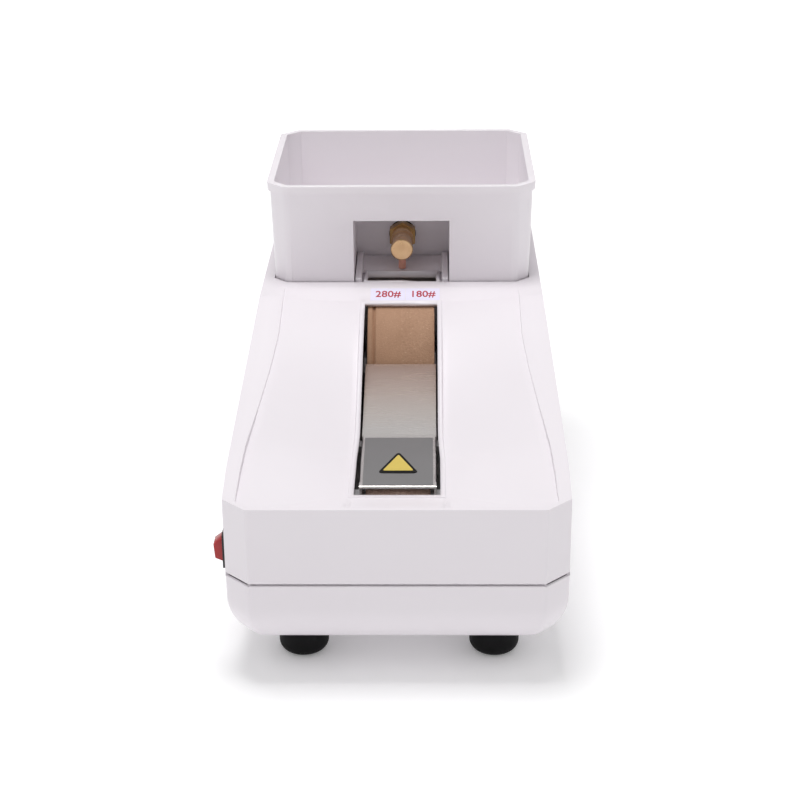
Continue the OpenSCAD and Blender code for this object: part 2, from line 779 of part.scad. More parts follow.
module motor_bracket() {
    color([0.4, 0.42, 0.45])
    for (from = [-50, 4])
        difference() {
            union() {
                along_x(from, from + 12) translate([motor_y - 30, tray_floor]) square([60, 40]);
                along_x(from, from + 12) translate([motor_y - 46, tray_floor]) square([46, 5]);
            }
            ring_x(0, motor_dia / 2, from - 1, from + 13, motor_y, motor_z);
            translate([from + 6, motor_y - 39, tray_floor - 1]) cylinder(h = 8, r = 2.6, $fn = 32);
        }
}

module motor_screws() {
    color([0.7, 0.7, 0.72])
    for (x = [-44, 10])
        translate([x, motor_y - 39, tray_floor]) {
            translate([0, 0, 5]) cylinder(h = 4, r = 4.5, $fn = 6);
            translate([0, 0, -2]) cylinder(h = 8, r = 2.5, $fn = 32);
        }
}

module capacitor() {
    color([0.2, 0.25, 0.45])
        translate([-66, 118, 49]) rotate([-90, 0, 0]) cylinder(h = 58, r = 16, $fn = 64);
}

module capacitor_clip() {
    color([0.7, 0.7, 0.72])
    translate([-66, 140, 49]) rotate([-90, 0, 0])
    difference() {
        union() {
            cylinder(h = 10, r = 17.2, $fn = 64);
            translate([4, 14, 0]) cube([10, 12, 10]);
        }
        translate([0, 0, -1]) cylinder(h = 12, r = 16, $fn = 64);
    }
}

module terminal_block() {
    color([0.85, 0.83, 0.75])
    difference() {
        translate([46, 112, tray_floor]) cube([16, 50, 15]);
        for (k = [0 : 4]) {
            translate([50, 117 + k * 10, tray_floor + 8]) cylinder(h = 10, r = 2.4, $fn = 32);
            translate([58, 117 + k * 10, tray_floor + 8]) cylinder(h = 10, r = 2.4, $fn = 32);
        }
    }
}

// ---- electrical fittings in the walls ----

module inlet_box(w, h, from, to) {
    translate([inlet_at.x - w / 2, from, inlet_at.y - h / 2]) cube([w, to - from, h]);
}

module power_inlet() {
    face = body_len + inlet_flange;
    color([0.08, 0.08, 0.08])
    difference() {
        union() {
            inlet_box(50, 22.5, body_len, face);
            inlet_box(27.4, 19.4, face - 26, face);
        }
        inlet_box(24.2, 16.2, face - 17, face + 1);
        for (side = [-1, 1])
            translate([inlet_at.x + side * 20, face + 1, inlet_at.y])
                rotate([90, 0, 0]) cylinder(h = 10, r = 1.6, $fn = 32);
    }
}

module inlet_blades() {
    face = body_len + inlet_flange;
    color([0.78, 0.76, 0.7])
    for (p = [[-7, -2], [0, 2], [7, -2]])
        translate([inlet_at.x + p.x - 1, face - 26.5, inlet_at.y + p.y - 2]) cube([2, 17.5, 4]);
}

module inlet_screws() {
    face = body_len + inlet_flange;
    color([0.7, 0.7, 0.72])
    for (side = [-1, 1])
        translate([inlet_at.x + side * 20, face - 0.1, inlet_at.y])
            rotate([90, 0, 0]) cylinder(h = 9, r = 1.5, $fn = 32);
}

pivot_x = 3 - body_half;

module switch_housing() {
    color([0.06, 0.06, 0.06])
    difference() {
        union() {
            translate([-body_half - 1.8, switch_y - 7.5, switch_z - 10.5]) cube([1.8, 15, 21]);
            translate([-body_half - 0.5, switch_y - 6.3, switch_z - 9.3]) cube([17, 12.6, 18.6]);
        }
        translate([-body_half - 3, switch_y - 5.3, switch_z - 8.5]) cube([16, 10.6, 17]);
        translate([pivot_x, switch_y - 8, switch_z]) rotate([-90, 0, 0]) cylinder(h = 16, r = 1.06, $fn = 32);
    }
}

module switch_rocker() {
    w = body_half;
    tip = w + rocker_out;
    profile = [[5 - w, -6.3], [-w - 2, -7.2], [0.7 - tip, -5.3], [-tip, 3.3], [-w - 2, 7.1], [5 - w, 5.9]];
    color([0.75, 0.2, 0.17])
    translate([0, switch_y, switch_z]) {
        rotate([90, 0, 0]) linear_extrude(9.8, center = true) polygon(profile);
        translate([pivot_x, -6.2, 0]) rotate([-90, 0, 0]) cylinder(h = 12.4, r = 1, $fn = 32);
    }
}

placed() base_tray();
placed() top_shell();
placed() rubber_feet();
placed() foot_screws();
placed() shell_screws();
placed() water_tank();
placed() drip_tray();
placed() tap_nut();
placed() tap_body();
placed() tap_outlet();
placed() tap_knob();
placed() tap_stem();
placed() tap_washers();
placed() tap_lock_nut();
placed() wheel_fine();
placed() wheel_coarse();
placed() wheel_core();
placed() wheel_flanges();
placed() wheel_nut();
placed() spindle();
placed() spindle_seals();
placed() bearings();
placed() bearing_blocks();
placed() block_screws();
placed() wheel_housing();
placed() drain_spout();
placed() drain_nut();
placed() guard_plate();
placed() plate_film();
placed() caution_patch();
placed() sponge();
placed() grit_label();
placed() spindle_pulley();
placed() motor_pulley();
placed() drive_belt();
placed() motor_body();
placed() motor_end_caps();
placed() motor_shaft();
placed() motor_bracket();
placed() motor_screws();
placed() capacitor();
placed() capacitor_clip();
placed() terminal_block();
placed() power_inlet();
placed() inlet_blades();
placed() inlet_screws();
placed() switch_housing();
placed() switch_rocker();
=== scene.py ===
import json
import math

import bmesh
import bpy
from mathutils import Matrix, Vector, noise


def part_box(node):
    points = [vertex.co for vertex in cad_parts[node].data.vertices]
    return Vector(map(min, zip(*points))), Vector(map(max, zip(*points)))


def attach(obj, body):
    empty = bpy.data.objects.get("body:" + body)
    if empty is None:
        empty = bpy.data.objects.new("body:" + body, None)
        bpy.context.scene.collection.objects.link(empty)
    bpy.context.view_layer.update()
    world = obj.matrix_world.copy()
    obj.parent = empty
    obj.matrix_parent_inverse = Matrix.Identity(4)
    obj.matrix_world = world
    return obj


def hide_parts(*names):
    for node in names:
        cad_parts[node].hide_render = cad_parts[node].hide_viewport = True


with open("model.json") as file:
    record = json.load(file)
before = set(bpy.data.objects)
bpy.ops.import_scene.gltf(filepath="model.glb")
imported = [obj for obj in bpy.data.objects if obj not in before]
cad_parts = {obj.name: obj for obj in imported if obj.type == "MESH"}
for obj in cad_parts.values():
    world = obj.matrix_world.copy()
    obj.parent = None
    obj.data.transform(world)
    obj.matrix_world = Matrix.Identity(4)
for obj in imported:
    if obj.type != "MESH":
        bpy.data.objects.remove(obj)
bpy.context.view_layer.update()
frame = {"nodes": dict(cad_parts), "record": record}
scene = bpy.context.scene
shellLow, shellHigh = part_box("top_shell")
middleX = (shellLow.x + shellHigh.x) / 2
frontY = shellLow.y
mm = 0.001
print("frame loaded:", len(frame["nodes"]), "nodes")


# a place in millimetres from the machine's middle, its front wall and the table
def at(x, y, z):
    return Vector((middleX + x * mm, frontY + y * mm, z * mm))


camera = {"place": (19.76, -890.78, 554.34), "down": 22.9, "turn": -1.1, "roll": -0.52, "lens": 81}


def makeCamera():
    down, turn, roll = (math.radians(camera[k]) for k in ("down", "turn", "roll"))
    right = Vector((math.cos(turn), -math.sin(turn), 0))
    ahead = Vector((math.sin(turn) * math.cos(down), math.cos(turn) * math.cos(down), -math.sin(down)))
    up = right.cross(ahead)
    side = right * math.cos(roll) + up * math.sin(roll)
    top = up * math.cos(roll) - right * math.sin(roll)
    data = bpy.data.cameras.new("camera")
    data.lens = camera["lens"]
    data.sensor_width = 36
    turned = Matrix((side, top, -ahead)).transposed().to_4x4()
    turned.translation = at(*camera["place"])
    thing = bpy.data.objects.new("camera", data)
    thing.matrix_world = turned
    scene.collection.objects.link(thing)
    scene.camera = thing


makeCamera()
print("camera placed")


# shader maths as plain expressions
class Value:
    def __init__(self, finish, socket):
        self.finish, self.socket = finish, socket

    def sum(self, operation, a, b=0.0):
        return self.finish.node("ShaderNodeMath", {"operation": operation}, {0: a, 1: b})

    def __add__(self, other):
        return self.sum("ADD", self, other)

    def __sub__(self, other):
        return self.sum("SUBTRACT", self, other)

    def __rsub__(self, other):
        return self.sum("SUBTRACT", other, self)

    def __mul__(self, other):
        return self.sum("MULTIPLY", self, other)

    def __gt__(self, other):
        return self.sum("GREATER_THAN", self, other)

    __radd__ = __add__
    __rmul__ = __mul__


class Finish:
    def __init__(self, name, roughness=0.4, metal=0.0, coat=0.0, specular=0.5):
        self.material = bpy.data.materials.new(name)
        self.material.use_nodes = True
        self.tree = self.material.node_tree
        self.shader = self.tree.nodes["Principled BSDF"]
        self.set("Roughness", roughness)
        self.set("Metallic", metal)
        self.set("Coat Weight", coat)
        self.set("Specular IOR Level", specular)
        self.place = self.node("ShaderNodeTexCoord", {}, {}, "Object")

    def node(self, kind, settings, values, out=0):
        made = self.tree.nodes.new(kind)
        for key, value in settings.items():
            setattr(made, key, value)
        for key, value in values.items():
            if isinstance(value, Value):
                self.tree.links.new(value.socket, made.inputs[key])
            else:
                made.inputs[key].default_value = value
        return Value(self, made.outputs[out])

    def set(self, name, value):
        if isinstance(value, Value):
            self.tree.links.new(value.socket, self.shader.inputs[name])
        else:
            self.shader.inputs[name].default_value = value

    def spots(self, scale, detail=3.0, stretch=(1, 1, 1), rough=0.55):
        where = self.node("ShaderNodeMapping", {}, {"Vector": self.place, "Scale": stretch})
        return self.node("ShaderNodeTexNoise", {}, {"Vector": where, "Scale": scale, "Detail": detail,
                                                    "Roughness": rough})

    def shade(self, amount, low, high):
        return self.node("ShaderNodeMix", {"data_type": "RGBA"},
                         {0: amount, 6: (*low, 1), 7: (*high, 1)}, 2)

    def axis(self, which):
        return self.node("ShaderNodeSeparateXYZ", {}, {0: self.place}, which)

    def bump(self, height, strength, depth):
        made = self.node("ShaderNodeBump", {},
                         {"Height": height, "Strength": strength, "Distance": depth * mm})
        self.set("Normal", made)


plastic = {"pale": (0.84, 0.80, 0.835), "shaded": (0.80, 0.755, 0.795), "grain": 2600, "clouds": 9}


def moulded(name, pale=plastic["pale"], shaded=plastic["shaded"], roughness=0.34, depth=0.02):
    f = Finish(name)
    clouds = f.spots(plastic["clouds"], 4)
    grain = f.spots(plastic["grain"], 2)
    f.set("Base Color", f.shade(clouds, shaded, pale))
    f.set("Roughness", clouds * 0.08 + grain * 0.05 + (roughness - 0.06))
    f.bump(grain + f.spots(140, 2) * 0.6, 0.25, depth)
    return f.material


def gritty(name, dark, light, scale, depth):
    f = Finish(name, roughness=0.75, specular=0.3)
    grains = f.node("ShaderNodeTexVoronoi", {}, {"Vector": f.place, "Scale": scale}, 0)
    wet = f.spots(45, 5, (1, 0.35, 1))
    fine = f.spots(scale * 0.8, 2)
    mixed = f.shade(wet * 0.55 + fine * 0.45, dark, light)
    bright = (fine > 0.7) * 0.18
    f.set("Base Color", f.node("ShaderNodeMix", {"data_type": "RGBA"},
                               {0: bright, 6: mixed, 7: (0.86, 0.70, 0.56, 1)}, 2))
    f.set("Roughness", 0.85 - wet * 0.25)
    f.bump(grains, 0.8, depth)
    return f.material


def turnedMetal(name, dark, light, roughness, centre, axis, rings=900, depth=0.03):
    f = Finish(name, metal=1.0)
    shifted = f.node("ShaderNodeMapping", {}, {"Vector": f.place, "Location": tuple(-v for v in centre)})
    parts = [f.node("ShaderNodeSeparateXYZ", {}, {0: shifted}, k) for k in range(3) if k != axis]
    radius = f.node("ShaderNodeMath", {"operation": "SQRT"}, {0: parts[0] * parts[0] + parts[1] * parts[1]})
    marks = f.node("ShaderNodeMath", {"operation": "SINE"}, {0: radius * (rings * 12.0)})
    patina = f.spots(160, 4)
    f.set("Base Color", f.shade(patina, dark, light))
    f.set("Roughness", patina * 0.16 + marks * 0.03 + (roughness - 0.06))
    f.bump(marks * 0.5 + f.spots(1500, 2), 0.35, depth)
    return f.material


def plainMetal(name, dark, light, roughness, stretch=(1, 1, 1), scale=400, depth=0.01, metal=1.0):
    f = Finish(name, metal=metal)
    streaks = f.spots(scale, 3, stretch)
    clouds = f.spots(30, 4)
    f.set("Base Color", f.shade(clouds * 0.7 + streaks * 0.3, dark, light))
    f.set("Roughness", streaks * 0.16 + clouds * 0.1 + (roughness - 0.12))
    f.bump(streaks, 0.3, depth)
    return f.material


def soft(name, dark, light, roughness, scale, depth, specular=0.35):
    f = Finish(name, specular=specular)
    dust = f.spots(60, 5)
    grain = f.spots(scale, 3)
    f.set("Base Color", f.shade(dust * 0.6 + grain * 0.4, dark, light))
    f.set("Roughness", dust * 0.15 + (roughness - 0.07))
    f.bump(grain, 0.5, depth)
    return f.material


plateReflectionTone = {"near": (0.60, 0.575, 0.56), "far": (0.62, 0.49, 0.40), "from": 108, "to": 174}


# polished sheet with fine lines along it, with a painted reflection of the wheel: browner where it nears the
# wheel
def restSteelPaintedReflection():
    f = Finish("restSteelPaintedReflection", metal=1.0)
    lines = f.spots(1500, 3, (0.02, 1, 1))
    smear = f.spots(28, 4, (0.5, 1, 1))
    # painted reflection: the colour turns from the plate's grey to the wheel's brown as the sheet nears the
    # wheel
    low, high = at(0, plateReflectionTone["from"], 0).y, at(0, plateReflectionTone["to"], 0).y
    near = f.node("ShaderNodeMapRange", {}, {"Value": f.axis(1) + smear * 0.012 - 0.006, "From Min": low,
                                             "From Max": high})
    f.set("Base Color", f.shade(near, plateReflectionTone["near"], plateReflectionTone["far"]))
    f.set("Roughness", lines * 0.14 + smear * 0.12 + 0.12)
    f.bump(lines, 0.25, 0.01)
    return f.material


def filmed():
    f = Finish("greyFilm", coat=0.15)
    scratches = f.spots(700, 2, (0.3, 1, 1))
    haze = f.spots(22, 3)
    f.set("Base Color", f.shade(haze, (0.155, 0.15, 0.152), (0.19, 0.185, 0.187)))
    f.set("Roughness", scratches * 0.05 + haze * 0.08 + 0.24)
    f.bump(haze * 2.0, 0.15, 0.04)
    return f.material


def foam():
    f = Finish("foam", roughness=0.9, specular=0.2)
    cells = f.node("ShaderNodeTexVoronoi", {}, {"Vector": f.place, "Scale": 900.0}, 0)
    damp = f.spots(60, 4)
    f.set("Base Color", f.shade(cells * 0.5 + damp * 0.5, (0.44, 0.27, 0.20), (0.80, 0.60, 0.50)))
    f.bump(cells, 1.0, 0.5)
    return f.material


knobCentre = at(0, 250, 181.5)
wheelCentre = at(0, 221.8, 107.9)
finishes = {
    "white_plastic": moulded("casingWhite"),
    "housing_plastic": moulded("housingGrey", (0.60, 0.59, 0.60), (0.52, 0.51, 0.52)),
    "black_rubber": soft("blackRubber", (0.004, 0.004, 0.0045), (0.012, 0.012, 0.0125), 0.6, 900, 0.04, 0.12),
    "black_plastic": soft("blackPlastic", (0.015, 0.015, 0.016), (0.03, 0.03, 0.032), 0.4, 1600, 0.02),
    "red_plastic": moulded("redPlastic", (0.42, 0.014, 0.014), (0.34, 0.01, 0.012), 0.25, 0.01),
    "brass": turnedMetal("turnedBrass", (0.60, 0.37, 0.19), (0.78, 0.54, 0.32), 0.30, knobCentre, 1),
    "dark_brass": turnedMetal("dullBrass", (0.26, 0.15, 0.06), (0.46, 0.29, 0.13), 0.36, knobCentre, 1),
    "copper": plainMetal("copper", (0.80, 0.34, 0.24), (0.98, 0.55, 0.43), 0.3, depth=0.02, metal=0.4),
    "steel": plainMetal("plainSteel", (0.46, 0.46, 0.48), (0.64, 0.64, 0.66), 0.34),
    "polished_steel": restSteelPaintedReflection(),
    "fine_grit": gritty("fineGrit", (0.27, 0.145, 0.085), (0.53, 0.32, 0.205), 1500, 0.12),
    "coarse_grit": gritty("coarseGrit", (0.25, 0.13, 0.075), (0.58, 0.36, 0.235), 950, 0.25),
    "aluminium": turnedMetal("turnedAluminium", (0.60, 0.60, 0.62), (0.76, 0.76, 0.78), 0.36, wheelCentre, 0),
    "cast_iron": plainMetal("castIron", (0.16, 0.17, 0.18), (0.27, 0.28, 0.30), 0.6, scale=700, depth=0.1,
                            metal=0.2),
    "motor_paint": plainMetal("motorPaint", (0.10, 0.12, 0.15), (0.15, 0.17, 0.20), 0.45, scale=900,
                              depth=0.03, metal=0.0),
    "grey_film": filmed(),
    "yellow_film": soft("yellowPrint", (0.60, 0.45, 0.09), (0.70, 0.54, 0.12), 0.4, 700, 0.005),
    "label_film": soft("paleLabel", (0.76, 0.73, 0.90), (0.83, 0.80, 0.93), 0.4, 700, 0.005),
    "sponge_foam": foam(),
    "capacitor_case": soft("capacitorBlue", (0.04, 0.07, 0.18), (0.07, 0.11, 0.24), 0.4, 900, 0.01),
    "cream_plastic": soft("creamPlastic", (0.62, 0.58, 0.47), (0.72, 0.68, 0.57), 0.45, 1500, 0.01),
}
markRed = soft("markRed", (0.38, 0.02, 0.04), (0.48, 0.03, 0.06), 0.45, 600, 0.003)
markBlack = soft("markBlack", (0.003, 0.003, 0.003), (0.009, 0.008, 0.007), 0.5, 600, 0.003, 0.15)
slotOf = {part["node"]: part["material_slot"] for part in frame["record"]["subparts"]}
bodyOf = {node: body for body, nodes in frame["record"]["behaviour"]["bodies"].items() for node in nodes}
for nodeName, thing in frame["nodes"].items():
    thing.data.materials.clear()
    thing.data.materials.append(finishes[slotOf[nodeName]])
print("finishes made:", len(finishes))


# pieces are built as bmesh, given their finish, and ride the body of the node they stand for
def finished(bm, name, nodes, material=None, smooth=32, body=None):
    mesh = bpy.data.meshes.new(name)
    for face in bm.faces:
        face.smooth = True
    bm.to_mesh(mesh)
    bm.free()
    mesh.set_sharp_from_angle(angle=math.radians(smooth))
    thing = bpy.data.objects.new(name, mesh)
    scene.collection.objects.link(thing)
    mesh.materials.append(material or finishes[slotOf[nodes[0]]])
    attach(thing, body or bodyOf[nodes[0]])
    if nodes:
        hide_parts(*nodes)
    return thing


def mergedCopy(node, flat=0.6):
    bm = bmesh.new()
    bm.from_mesh(frame["nodes"][node].data)
    bmesh.ops.remove_doubles(bm, verts=bm.verts, dist=0.004 * mm)
    bmesh.ops.dissolve_limit(bm, angle_limit=math.radians(flat), verts=bm.verts, edges=bm.edges)
    return bm


# faces with their edges and corners, each once and in the same order on every run
def withParts(faces):
    edges = dict.fromkeys(e for f in faces for e in f.edges)
    return faces + list(edges) + list(dict.fromkeys(v for f in faces for v in f.verts))


def rounded(bm, offset, segments=2, least=30, wanted=lambda edge: True):
    edges = [e for e in bm.edges
             if e.is_manifold and e.calc_face_angle(0) > math.radians(least) and wanted(e)]
    bmesh.ops.bevel(bm, geom=edges, offset=offset * mm, offset_type="OFFSET", segments=segments, profile=0.5,
                    affect="EDGES", material=-1, clamp_overlap=True)


def eased(node, offset=0.4, segments=2, least=30, smooth=32):
    bm = mergedCopy(node)
    rounded(bm, offset, segments, least)
    return finished(bm, node + "_eased", [node], smooth=smooth)


# a profile of (radius, along) turned about an axis through centre
def spun(profile, centre, axis, steps=96):
    along = Vector([float(k == axis) for k in range(3)])
    out = Vector((0, 0, 1)) if axis != 2 else Vector((1, 0, 0))
    bm = bmesh.new()
    line = [bm.verts.new(centre + out * radius * mm + along * height * mm) for radius, height in profile]
    edges = [bm.edges.new(pair) for pair in zip(line, line[1:])]
    bmesh.ops.spin(bm, geom=line + edges, cent=centre, axis=along, angle=math.tau, steps=steps,
                   use_merge=True)
    bmesh.ops.remove_doubles(bm, verts=bm.verts, dist=0.002 * mm)
    bmesh.ops.recalc_face_normals(bm, faces=bm.faces)
    return bm


def mixed(a, b, share):
    return a + (b - a) * share


def eases(share):
    share = min(1.0, max(0.0, share))
    return share * share * (3 - 2 * share)


# upper half of the casing: sizes in mm from the front wall, the middle and the table
casing = {"half": 98, "rear": 91.5, "length": 383, "corner": 14, "taper": 40, "wall": 2.6, "split": 65,
          "lip": 112, "lipWide": 3.5, "deck": 164, "deckFrom": 207, "dishBack": 222}
dish = {"floor": 109, "crease": 75, "run": -7, "sag": 3, "top": 158.5, "foot": 0.25, "head": 0.2,
        "rail": ((10, 7.8), (60, 9.2), (95, 12.5), (130, 15.4), (165, 17), (207, 15.5)),
        "below": ((14, 1.5), (40, 3), (68, 2.5), (100, 0.8)),
        "shares": (0.0, 0.07, 0.15, 0.26, 0.39, 0.53, 0.67, 0.8, 0.91, 1.0)}
slotCut = {"low": 24.6, "high": 23.4, "front": 24, "rear": 206, "lip": 2.6, "rise": 0.7}
recess = {"half": 84.6, "cut": 9, "front": 233.4, "back": 372.6, "deep": 2.5}
drip = {"half": 25, "front": 234.4, "back": 257, "corner": 3}
shellEdge = {"outer": 1.3, "rim": 0.22, "smooth": 28}


def halfAt(y):
    share = min(1, max(0, (y - casing["taper"]) / (casing["deckFrom"] - casing["taper"])))
    straight = mixed(casing["half"], casing["rear"], share)
    return min(straight, casing["half"] - casing["corner"] + y,
               casing["rear"] - casing["corner"] + casing["length"] - y)


def railTop(y):
    return mixed(casing["lip"], casing["deck"],
                 min(1, max(0, (y - casing["corner"]) / (casing["deckFrom"] - casing["corner"]))))


# the value at y in a row of (y, value) pairs
def listed(places, y):
    for (y0, a), (y1, b) in zip(places, places[1:]):
        if y < y1:
            return mixed(a, b, max(0, (y - y0) / (y1 - y0)))
    return places[-1][1]


def railInner(y):
    return min(halfAt(max(y, casing["corner"])) - listed(dish["rail"], y),
               y + casing["half"] - casing["corner"] - 4.95)


def edgeHeight(y):
    if y <= dish["crease"]:
        return dish["floor"]
    if y <= casing["deckFrom"]:
        long = casing["deckFrom"] - dish["crease"]
        t = (y - dish["crease"]) / long
        return (mixed(dish["floor"], dish["top"], eases(t))
                + long * t * (1 - t) * (dish["foot"] * (1 - t) - dish["head"] * t))
    return min(dish["top"] + (y - casing["deckFrom"]) / 3, casing["deck"])


def creaseAt(share):
    return dish["crease"] + dish["run"] * share


def dishHeight(share, y):
    start = creaseAt(share)
    along = min(1, max(0, (y - start) / (casing["deckFrom"] - start)))
    middle = edgeHeight(mixed(dish["crease"], casing["deckFrom"], along))
    middle -= dish["sag"] * math.sin(math.pi * along) ** 2
    return mixed(middle, railTop(y) - listed(dish["below"], y), share * (0.7 + 0.3 * share))


slotRim = [0, 1, 2]
dishColumns = len(slotRim) + len(dish["shares"])
lastColumn = dishColumns + 2


def slotHalf(y):
    return mixed(slotCut["low"], slotCut["high"], min(1, max(0, (y - 75) / 20)))


# rows of the upper surface from front to back: what each is, and its share or place
surfaceRows = ([("lip", 0.0), ("lip", casing["lipWide"]), ("foot", 0.0), ("facet", 0.0), ("rim", 0.0),
                ("front", 0.0), ("tray", 0.077)]
               + [("tray", s) for s in (0.16, 0.26, 0.38, 0.5, 0.62, 0.74, 0.85, 0.94)]
               + [("ramp", s) for s in (0.0, 0.025, 0.06, 0.1, 0.145, 0.19, 0.24, 0.29, 0.34, 0.395, 0.45,
                                        0.505, 0.56, 0.615, 0.67, 0.725, 0.78, 0.835, 0.89, 0.945, 1.0)]
               + [("behind", 208.6), ("behind", 210), ("behind", 216), ("behind", 222), ("deck", 224),
                  ("deck", recess["front"]), ("deck", drip["front"]), ("deck", 242.4), ("deck", drip["back"]),
                  ("deck", 300), ("deck", 340), ("deck", 363.6), ("deck", 369), ("deck", recess["back"]),
                  ("deck", 378), ("deck", casing["length"])])
rowAt = {row: k for k, row in enumerate(surfaceRows)}


def surfacePoint(row, column):
    kind, value = row
    share = dish["shares"][min(max(column - 3, 0), len(dish["shares"]) - 1)]
    trayStart = max(4.7, slotCut["front"] - 21.3 * share)
    onRim = column <= 2
    if kind == "lip":
        y = value
    elif kind == "foot":
        y = casing["lipWide"] + 0.7
    elif kind == "facet":
        y = 20.8 if onRim else max(trayStart - 1, 4.5)
    elif kind == "rim":
        y = slotCut["front"] - slotCut["lip"] if onRim else trayStart
    elif kind == "front":
        y = slotCut["front"] if onRim else trayStart + 2.4
    elif kind == "tray":
        y = mixed(slotCut["front"] if onRim else trayStart + 2.4, creaseAt(share), value)
    elif kind == "ramp":
        end = slotCut["rear"] if onRim else casing["deckFrom"]
        y = mixed(creaseAt(share), end, value)
    else:
        y = value
    if kind == "deck":
        reach = recess["half"]
        if recess["front"] - 1 <= y <= recess["back"] + 1:
            reach = min(reach, recess["half"] - recess["cut"] + y - recess["front"],
                        recess["half"] - recess["cut"] + recess["back"] - y)
        elif y > recess["back"]:
            reach = halfAt(y) - 5
        across = [0, drip["half"], drip["half"] + drip["corner"]]
        across += [mixed(drip["half"] + 5, 66, s) for s in dish["shares"]]
        across += [mixed(66, reach, 0.5) if reach < 76 else 70, reach, halfAt(y)]
        return across[column], y, casing["deck"]
    if column == lastColumn:
        y = {"foot": 4.4, "facet": 5.4, "rim": 7, "front": 9.4}.get(kind, y)
        y = casing["corner"] if row == ("tray", 0.077) else y
        return halfAt(y), y, railTop(y)
    if column > dishColumns - 1:
        inner = railInner(y)
        if kind == "lip" and value == 0:
            return mixed(railInner(3.5), halfAt(0), 0.5 * (column - dishColumns + 1)), y, casing["lip"]
        if column == dishColumns:
            if kind == "lip":
                return railInner(3.5), y, casing["lip"]
            return inner + 0.4, y, railTop(y)
        return mixed(inner, halfAt(max(y, casing["corner"] * 0.6)), 0.5), y, railTop(y)
    edge = slotHalf(y)
    inner = railInner(max(y, 3.5))
    if column <= 2:
        x = (0, edge, edge + slotCut["lip"])[column]
    else:
        x = mixed(edge + slotCut["lip"] + 0.6, inner, share)
    if kind == "lip":
        return x, y, casing["lip"]
    if kind == "foot":
        z = casing["lip"] - 0.7
    elif kind == "facet":
        z = mixed(dish["floor"] + 0.15, dishHeight(share, trayStart), 0.5 + 0.5 * share)
    elif kind in ("rim", "front", "tray", "ramp"):
        z = dishHeight(share, y)
    else:
        z = mixed(edgeHeight(y), railTop(y) - 0.4, share ** 3 if y < casing["dishBack"] else 1)
    if onRim and kind not in ("foot", "facet"):
        z = edgeHeight(y) + slotCut["rise"] * (1 if y < 210 else 0)
    return x, y, z


def upperShell():
    rows, half = len(surfaceRows), lastColumn
    bm = bmesh.new()
    bmesh.ops.create_grid(bm, x_segments=2 * half, y_segments=rows - 1, size=1)
    label = {}
    for v in bm.verts:
        column = round((v.co.x + 1) * half) - half
        row = round((v.co.y + 1) * (rows - 1) / 2)
        label[v] = (column, row)
        x, y, z = surfacePoint(surfaceRows[row], abs(column))
        v.co = at(math.copysign(x, column) if column else 0.0, y, z)
    named = {name: rowAt[row] for name, row in {
        "slotFront": ("front", 0.0), "slotRear": ("ramp", 1.0),
        "recessFront": ("deck", recess["front"]), "recessBack": ("deck", recess["back"]),
        "dripFront": ("deck", drip["front"]), "dripBack": ("deck", drip["back"])}.items()}

    def faceIn(face, reach, low, high):
        spots = [label.get(v) for v in face.verts]
        return all(s and abs(s[0]) <= reach and low <= s[1] <= high for s in spots)

    edge = [e for e in bm.edges if e.is_boundary]
    made = bmesh.ops.extrude_edge_only(bm, edges=edge)["geom"]
    for v in (g for g in made if isinstance(g, bmesh.types.BMVert)):
        v.co.z = (casing["split"] + 1) * mm
    low = [g for g in made if isinstance(g, bmesh.types.BMEdge)]
    made = bmesh.ops.extrude_edge_only(bm, edges=low)["geom"]
    for v in (g for g in made if isinstance(g, bmesh.types.BMVert)):
        v.co = Vector((mixed(middleX, v.co.x, 0.993), mixed(at(0, 191.5, 0).y, v.co.y, 0.9965),
                       casing["split"] * mm))
    bmesh.ops.recalc_face_normals(bm, faces=bm.faces)
    slotFaces = [f for f in bm.faces if faceIn(f, 1, named["slotFront"], named["slotRear"])]
    dripFaces = [f for f in bm.faces if faceIn(f, 1, named["dripFront"], named["dripBack"])]
    bmesh.ops.delete(bm, geom=slotFaces + dripFaces, context="FACES")
    sunk = [f for f in bm.faces if faceIn(f, dishColumns + 1, named["recessFront"], named["recessBack"])]
    made = bmesh.ops.extrude_face_region(bm, geom=sunk)["geom"]
    bmesh.ops.delete(bm, geom=sunk, context="FACES_ONLY")
    for v in (g for g in made if isinstance(g, bmesh.types.BMVert)):
        v.co.z -= recess["deep"] * mm
    openWall(bm)

    def isOuter(e):
        steep = abs(e.verts[0].co.z - e.verts[1].co.z) > 20 * mm
        onTop = all(v.co.z > (casing["split"] + 1.5) * mm for v in e.verts)
        near = any(abs(label.get(v, (99, 0))[0]) <= 3 for v in e.verts)
        return (steep or onTop) and not (near and label.get(e.verts[0], (0, 0))[1] > 1)

    rounded(bm, shellEdge["outer"], 4, 30, isOuter)
    rounded(bm, shellEdge["rim"], 2, 25,
            lambda e: all(label.get(v, (99, 0))[0] in (-3, -2, 2, 3) for v in e.verts))
    return bm


vents = {"x": [-66 + 12 * k for k in range(7)], "wide": 4, "low": 78, "high": 118}
inletCut = {"x": (38, 66), "z": (86, 106)}


